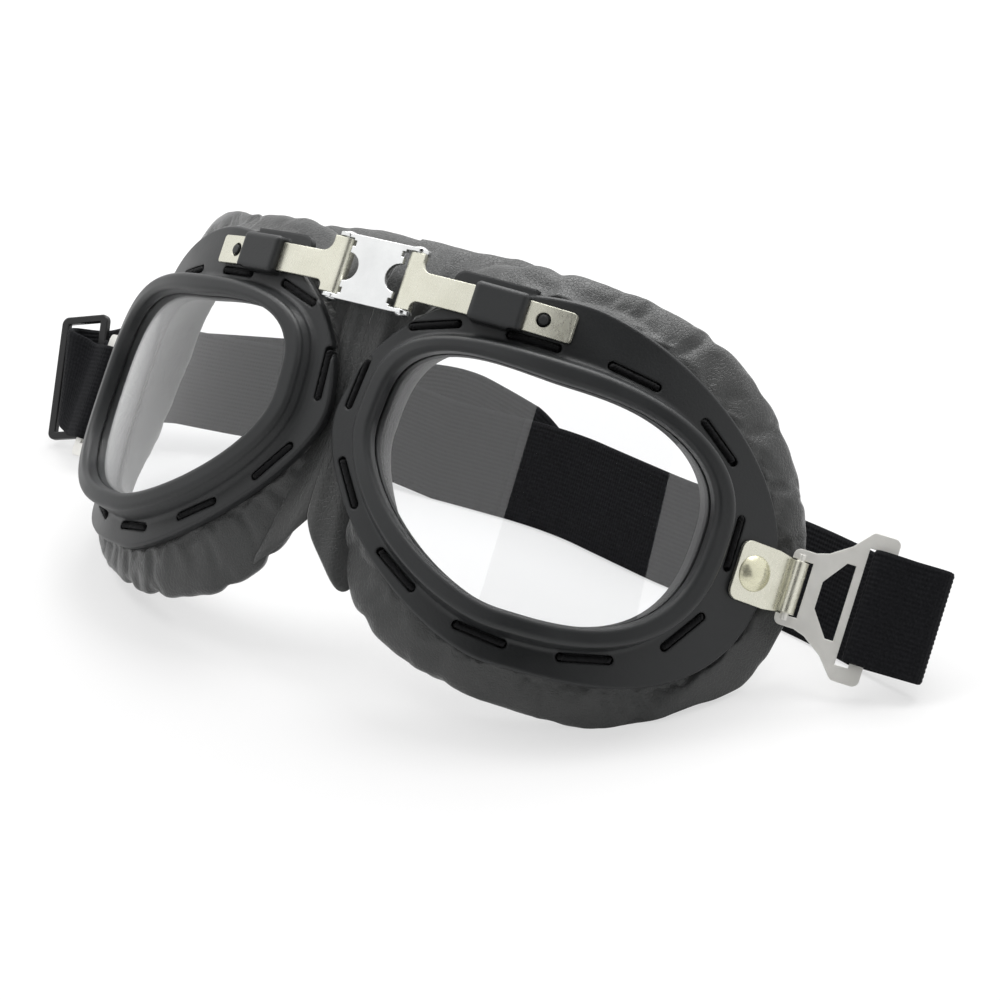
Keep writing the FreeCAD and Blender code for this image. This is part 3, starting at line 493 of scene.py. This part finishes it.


# Nose web: the same leather carried across between the cushions and arched over the nose.
# It is sewn under both flanges and lies in soft folds.
def nose_web(sign):
    """Half a saddle over u, from the middle to the side, and v, from the arch to the top.

    x = u w(z), where w widens from the waist both ways, and z runs from the arch to the top.
    y follows the face, sinks behind the cushion as u^2, rolls back near the top and carries
    soft sine folds. Front and rear lie 1.2 mm off that middle and close at the rims.
    """
    waist, waist_half, top_flare, foot_flare = 4, 4.6, 26.5, 9.0
    arch_middle, arch_fall, foot_lift, rise_height, fall_height = -22.4, 17.0, 8.0, 38, 35
    top_middle, top_fall, corner_fall, ripple = 44.6, 2.0, 3.0, 0.3
    face_gap, set_back, sunk_top, sunk_foot = 0.5, 1.7, 4.0, 5.0
    roll_depth, roll_start, roll_height, roll_ease = 7.0, 24, 19, 0.6
    upright_fold, slanted_fold, half_thickness, rim_half = 0.5, 0.35, 1.15, 0.05
    u = np.linspace(0, 1, 41)[:, None]
    v = np.linspace(0, 1, 81)[None, :]
    arch = arch_middle - arch_fall * u + foot_lift * np.clip((u - 0.7) / 0.3, 0, 1) ** 2
    top = (top_middle + (1 + sign) * u ** 2 - top_fall * u ** 4 - corner_fall * u ** 10
           + ripple * np.sin(9 * u + sign))
    z = arch + (top - arch) * v
    rise = np.clip((z - waist) / rise_height, 0, 2)
    fall = np.clip((waist - z) / fall_height, 0, 2)
    x = u * (waist_half + top_flare * rise ** 1.7 + foot_flare * fall ** 1.4)
    shell = wrapped(x - wrap_axis + 0 * z, z, -flange_thickness - face_gap)[..., 1]
    folds = (upright_fold * np.sin(x * 0.9 + 0.6) * np.clip(rise * 1.5, 0, 1)
             + slanted_fold * np.sin(x * 0.8 + z * 0.1))
    folds = folds * np.clip(u * 4, 0, 1) * np.clip((1 - u) * 3, 0, 1)
    sunk = u ** 2 * (sunk_top * np.clip(rise, 0, 1) + sunk_foot * np.clip(fall, 0, 1))
    rolled = roll_depth * np.clip((z - roll_start) / roll_height, 0, 1.1) ** 2
    rolled = rolled * (1 - roll_ease * u ** 4)
    middle = shell + set_back + sunk + rolled + folds
    thick = half_thickness * (1 - (2 * v - 1) ** 10) ** 0.5 + rim_half
    shape = np.broadcast_arrays(x * sign, middle, z, thick)
    front = np.stack([shape[0], shape[1] - shape[3], shape[2]], -1)
    rear = np.stack([shape[0], shape[1] + shape[3], shape[2]], -1)
    return np.concatenate([front, rear[:, ::-1]], 1)


for side, sign in sides:
    web = stand(nose_web(sign))
    piece = woven_mesh("nose_web_" + side, web, tube_faces(*web.shape[:2]))
    piece.data.materials.append(leather)
    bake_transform(piece)
    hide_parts("nose_saddle")


# Temple brackets with their rivets and washers: pale tabs riveted through the flange.
# The rivet heads are warmer in colour, and the washers sit unseen under the tails.
dress(["left_strap_bracket", "right_strap_bracket", "left_rivet_washer", "right_rivet_washer"],
      nickel)
warm = plated("warm_nickel", bright=(0.84, 0.82, 0.62), dull=(0.76, 0.74, 0.55),
              smooth=0.20, rough=0.32, grain=(1, 1, 3), metal=0.6)
dress(["left_bracket_rivet", "right_bracket_rivet"], warm)


# Buckles: plates stamped from steel with a window and a strap slot, paler and duller than the tabs.
# Each hangs on a bar inside its rolled bracket.
plate = plated("buckle_nickel", bright=(0.90, 0.89, 0.85), dull=(0.80, 0.79, 0.75),
               smooth=0.44, rough=0.54, grain=(3, 1, 1), metal=0.55)
dress(["left_buckle", "right_buckle"], plate)


# Strap: black woven elastic, 25 mm wide, with fine ribs along its length.
# It loops round each buckle, folds back and stands on its lower edge behind the goggles.
bar = np.array([94.16, 48.86])
swing = np.radians(25.0)
strap_level, climb_start, left_climb = -4.0, 57.84, 9.3
half_width, half_thickness, standing_height = 12.5, 0.74, 12.6
rib_pitch, rib_depth, rib_points = 1.05, 0.06, 145
end_step, back_step = 0.55, 1.1
floor_level = -home[2] * 1000 / np.cos(lean)


def on_buckle(outward, forward):
    """A plan point so far out along the buckle and so far in front of its plate."""
    return bar + np.array([outward * np.cos(swing) + forward * np.sin(swing),
                           outward * np.sin(swing) - forward * np.cos(swing)])


def flowing(points, step):
    """A quadratic B-spline from the first control point to the last, in even steps.

    Each piece is (1 - t)^2 start + 2 t (1 - t) middle + t^2 end.
    """
    points = np.array(points, float)
    middle = points[1:-1]
    start = np.concatenate([points[:1], (points[1:-2] + points[2:-1]) / 2])
    end = np.concatenate([(points[1:-2] + points[2:-1]) / 2, points[-1:]])
    t = np.linspace(0, 1, 60)[None, :, None]
    line = ((1 - t) ** 2 * start[:, None] + 2 * t * (1 - t) * middle[:, None]
            + t ** 2 * end[:, None]).reshape(-1, 2)
    run = distance_along(line)
    even = np.linspace(0, run[-1], int(run[-1] / step) + 1)
    return np.stack([np.interp(even, run, line[:, k]) for k in (0, 1)], -1), even


def webbing(name, path, run, level, tilt, share=1.0):
    """A ribbed band along a plan path, turned by tilt about its lower edge.

    A point is lower edge + share (a + half_width) width +- b depth, where the face is
    b = (half_thickness + rib_depth cos(2 pi a / rib_pitch)) (1 - |a / half_width|^44)^0.5.
    """
    tangent = np.gradient(path, axis=0)
    tangent /= np.linalg.norm(tangent, axis=1)[:, None]
    zero = np.zeros(len(path))
    across = np.stack([-tangent[:, 1], tangent[:, 0], zero], -1)
    rise = np.array([0.0, 0.0, 1.0])
    tilt = np.broadcast_to(tilt, zero.shape)[:, None]
    width = rise * np.cos(tilt) + across * np.sin(tilt)
    depth = across * np.cos(tilt) - rise * np.sin(tilt)
    a = np.linspace(-1, 1, rib_points)
    edge = (1 - np.abs(a) ** 44) ** 0.5
    b = (half_thickness + rib_depth * np.cos(2 * np.pi * a * half_width / rib_pitch)) * edge
    a = np.concatenate([a, a[::-1]]) * half_width
    b = np.concatenate([b, -b[::-1]])
    centre = np.concatenate([path, level[:, None]], 1)
    lower = (centre - half_width * rise)[:, None]
    reach = np.broadcast_to(share, zero.shape)[:, None] * (a + half_width)
    points = lower + width[:, None] * reach[..., None] + depth[:, None] * b[None, :, None]
    uv = np.stack(np.broadcast_arrays(run[:, None] * 0.001, a[None, :] * 0.001), -1)
    return woven_mesh(name, stand(points), tube_faces(len(path), len(a)), uv)


elastic, tree, shader, place = finish("black_elastic")
lay = tree.nodes.new("ShaderNodeUVMap").outputs["UV"]
weft = tree.nodes.new("ShaderNodeTexWave")
weft.inputs["Scale"].default_value = 430
weft.inputs["Distortion"].default_value = 1.5
weft.inputs["Detail"].default_value = 2
tree.links.new(lay, weft.inputs["Vector"])
fuzz = clouds(tree, place, 1900, 3)
tinted(tree, shader, fuzz, (0.0080, 0.0082, 0.0094), (0.0160, 0.0164, 0.0184))
shader.inputs["Roughness"].default_value = 0.8
shader.inputs["Specular IOR Level"].default_value = 0.08
shader.inputs["Sheen Weight"].default_value = 0.015
shader.inputs["Sheen Roughness"].default_value = 0.4
embossed(tree, shader, combined(tree, "ADD", weft.outputs["Fac"], fuzz), 0.00007)

joint = np.array([104.0, 68.0])
end_route = [on_buckle(23.8, -0.95), on_buckle(22.4, -1.0), on_buckle(20.0, -1.9),
             on_buckle(15.0, -1.9), on_buckle(15.0, 1.9), on_buckle(20.3, 1.75),
             on_buckle(23.3, 0.95), [122.3, 60.0], [122.3, 64.0], [113.0, 65.6], joint]
end_path, end_run = flowing(end_route, end_step)


def end_level(rise):
    """The strap's middle height: level on the buckle, then climbing to meet the back run."""
    meet = floor_level + rise + joint[1] * np.tan(lean) + standing_height
    share = np.clip((end_path[:, 1] - climb_start) / (joint[1] - climb_start), 0, None)
    return strap_level + (meet - strap_level) * share


fold = end_run[np.argmax(end_path[:, 0])]
fold_turn, fold_spread = np.radians(13.5), 5.5
for (side, sign), rise in zip(sides, (0.0, left_climb)):
    cone = fold_turn * (rise > 0) * np.exp(-((end_run - fold) / fold_spread) ** 2)
    piece = webbing("strap_end_" + side, end_path * np.array([sign, 1]), end_run,
                    end_level(rise), cone)
    piece.data.materials.append(elastic)
    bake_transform(piece)
    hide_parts("strap_" + side + "_end")

back_routes = {"right": [joint, [82, 74], [56, 74.8], [34, 79.0], [14, 83], [0, 83]],
               "left": [joint * [-1, 1], [-84, 73.5], [-62, 80.5], [-30, 83], [0, 83]]}


def standing(path):
    """The middle height of a band whose lower edge stays on the table: it grows with depth."""
    return floor_level + path[:, 1] * np.tan(lean) + standing_height


def back_level(path):
    """The band stands on the table at the right and climbs off it evenly to the left."""
    climb_from, climb_length = -20, 76
    climb = left_climb * np.clip((climb_from - path[:, 0]) / climb_length, 0, 1)
    return standing(path) + climb


def upright_tilt(path):
    """The band stands 4 degrees more upright behind the nose and leans at both ends."""
    right_end, left_end, ease, steeper = 70, 85, 40, np.radians(4)
    near = (np.clip((right_end - path[:, 0]) / ease, 0, 1)
            * np.clip((left_end + path[:, 0]) / ease, 0, 1))
    return steeper * near ** 2 * (3 - 2 * near)


for side, sign in sides:
    path, back_run = flowing(back_routes[side], back_step)
    piece = webbing("strap_back_" + side, path, back_run, back_level(path),
                    sign * upright_tilt(path))
    piece.data.materials.append(elastic)
    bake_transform(piece)
    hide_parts("strap_back")


# Doubled strap end: the free end of the same elastic, laid behind the back run at the left.
# It comes through the slider, waves a little and ends at a slant just past the middle.
tail_end, ply_gap, slant_length, slant_share = [10, 83], 1.85, 9, 0.13
tail_route = np.array(back_routes["left"][:-1] + [tail_end]) + [0, ply_gap]
tail_path, tail_run = flowing(tail_route, back_step)
wave_route = [[-105, 8], [-70, 8.4], [-45, 5.2], [-22, 8.0], [-7, 4.6], [6, 1.2], [14, 0.4]]
wave = flowing(wave_route, 1.0)[0]
tail_level = standing(tail_path) + np.interp(tail_path[:, 0], wave[:, 0], wave[:, 1])
near_end = np.clip((tail_run - tail_run[-1] + slant_length) / slant_length, 0, 1)
slant = 1 - slant_share * near_end ** 1.5
tail = webbing("strap_tail_band", tail_path, tail_run, tail_level, -upright_tilt(tail_path), slant)
tail.data.materials.append(elastic)
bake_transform(tail)
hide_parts("strap_tail")


# Slider: a flat black plastic ring at the left fold, moulded, with the strap run through it.
# It holds by friction and is pushed along by hand.
plastic = moulded("black_slider", dark=(0.006, 0.006, 0.0065), pale=(0.011, 0.011, 0.012),
                  smooth=0.25, rough=0.38, edge=0.0003)
dress(["strap_slider"], plastic)


# Table: a plain white matte sheet under the goggles, bright to the eye, that keeps a soft shadow.
# It belongs to the studio, not to the goggles.
half_table = 1.5
corners = [(x * half_table, y * half_table, 0) for x, y in ((-1, -1), (1, -1), (1, 1), (-1, 1))]
sheet = bpy.data.meshes.new("table")
sheet.from_pydata(corners, [], [(0, 1, 2, 3)])
table = bpy.data.objects.new("table", sheet)
bpy.context.scene.collection.objects.link(table)
white, tree, shader, _ = finish("white_table")
shader.inputs["Base Color"].default_value = (0.97, 0.97, 0.97, 1)
shader.inputs["Roughness"].default_value = 0.75
glow = tree.nodes.new("ShaderNodeEmission")
glow.inputs["Color"].default_value = (1, 1, 1, 1)


def seen_directly(tree):
    """One for camera, glossy and transmission rays, zero for the light that fills the scene."""
    rays = tree.nodes.new("ShaderNodeLightPath").outputs
    mirrored = combined(tree, "MAXIMUM", rays["Is Camera Ray"], rays["Is Glossy Ray"])
    return combined(tree, "MAXIMUM", mirrored, rays["Is Transmission Ray"])


mix = tree.nodes.new("ShaderNodeMixShader")
tree.links.new(ranged(tree, seen_directly(tree), 0, 0.60, 0, 1), mix.inputs["Fac"])
tree.links.new(shader.outputs["BSDF"], mix.inputs[1])
tree.links.new(glow.outputs["Emission"], mix.inputs[2])
tree.links.new(mix.outputs["Shader"], tree.nodes["Material Output"].inputs["Surface"])
sheet.materials.append(white)


# Studio: a dark flag round the camera, which the lenses mirror as a black band,
# two soft boxes and a pale even surround.
flag_distance = 1.15
flag_turn = np.radians(np.linspace(17, 61, 12))
flag_rise = np.radians(np.linspace(8, 62, 10))
turn, climb = np.meshgrid(flag_turn, flag_rise, indexing="ij")
dome = flag_distance * np.stack([np.sin(turn) * np.cos(climb), -np.cos(turn) * np.cos(climb),
                                 np.sin(climb)], -1)
mesh = bpy.data.meshes.new("flag")
mesh.from_pydata(dome.reshape(-1, 3).tolist(), [], grid_faces(*turn.shape, False, False).tolist())
flag = bpy.data.objects.new("flag", mesh)
bpy.context.scene.collection.objects.link(flag)
cloth_black, _, shader, _ = finish("flag_cloth")
shader.inputs["Base Color"].default_value = (0.01, 0.01, 0.01, 1)
shader.inputs["Roughness"].default_value = 0.9
shader.inputs["Specular IOR Level"].default_value = 0.1
mesh.materials.append(cloth_black)
flag.visible_diffuse = False
flag.visible_shadow = False
flag.visible_camera = False


def soft_box(name, place, size, power):
    """A square area lamp aimed at the middle of the goggles."""
    goggles_middle = np.array([0, 0, 0.04])
    lamp = bpy.data.lights.new(name, "AREA")
    lamp.shape = "SQUARE"
    lamp.size = size
    lamp.energy = power
    box = bpy.data.objects.new(name, lamp)
    aim = goggles_middle - np.array(place)
    aim /= np.linalg.norm(aim)
    side = np.cross(aim, [0, 0, 1])
    side /= np.linalg.norm(side)
    lift = np.cross(side, aim)
    rows = [[side[k], lift[k], -aim[k], place[k]] for k in range(3)]
    box.matrix_world = Matrix(rows + [[0, 0, 0, 1]])
    bpy.context.scene.collection.objects.link(box)


soft_box("left_box", place=(-0.70, -0.05, 1.10), size=0.7, power=6.0)
soft_box("top_box", place=(-0.05, 0.70, 1.05), size=1.0, power=16.0)
world = bpy.data.worlds.new("surround")
bpy.context.scene.world = world
world.use_nodes = True
tree = world.node_tree
ground = tree.nodes["Background"]
ground.inputs["Color"].default_value = (1, 1, 1, 1)
tree.links.new(ranged(tree, seen_directly(tree), 0.32, 1.0, 0, 1), ground.inputs["Strength"])


# Camera at the photograph's place: a long lens from the right, a little above the table.
# Its turn and place were solved in the drawn frame and lean with the goggles.
camera_place = [294.3, -424.8, -44.1]
azimuth, elevation, roll = np.radians([30.18, -4.25, 18.0])
right = np.array([np.cos(azimuth), np.sin(azimuth), 0])
rear = np.array([np.sin(azimuth) * np.cos(elevation), -np.cos(azimuth) * np.cos(elevation),
                 np.sin(elevation)])
down = -np.cross(rear, right)
turned_right = np.cos(roll) * right - np.sin(roll) * down
turned_down = np.sin(roll) * right + np.cos(roll) * down
axes = np.stack([turned_right, -turned_down, rear], 1)
view = np.eye(4)
view[:3, :3] = upright @ axes
view[:3, 3] = stand(camera_place)
camera = bpy.data.cameras.new("camera")
camera.lens = 86.4
camera.sensor_width = 36
camera.clip_start = 0.01
camera_object = bpy.data.objects.new("camera", camera)
camera_object.matrix_world = Matrix(view.tolist())
bpy.context.scene.collection.objects.link(camera_object)
bpy.context.scene.camera = camera_object
bpy.context.scene.view_settings.view_transform = "Standard"
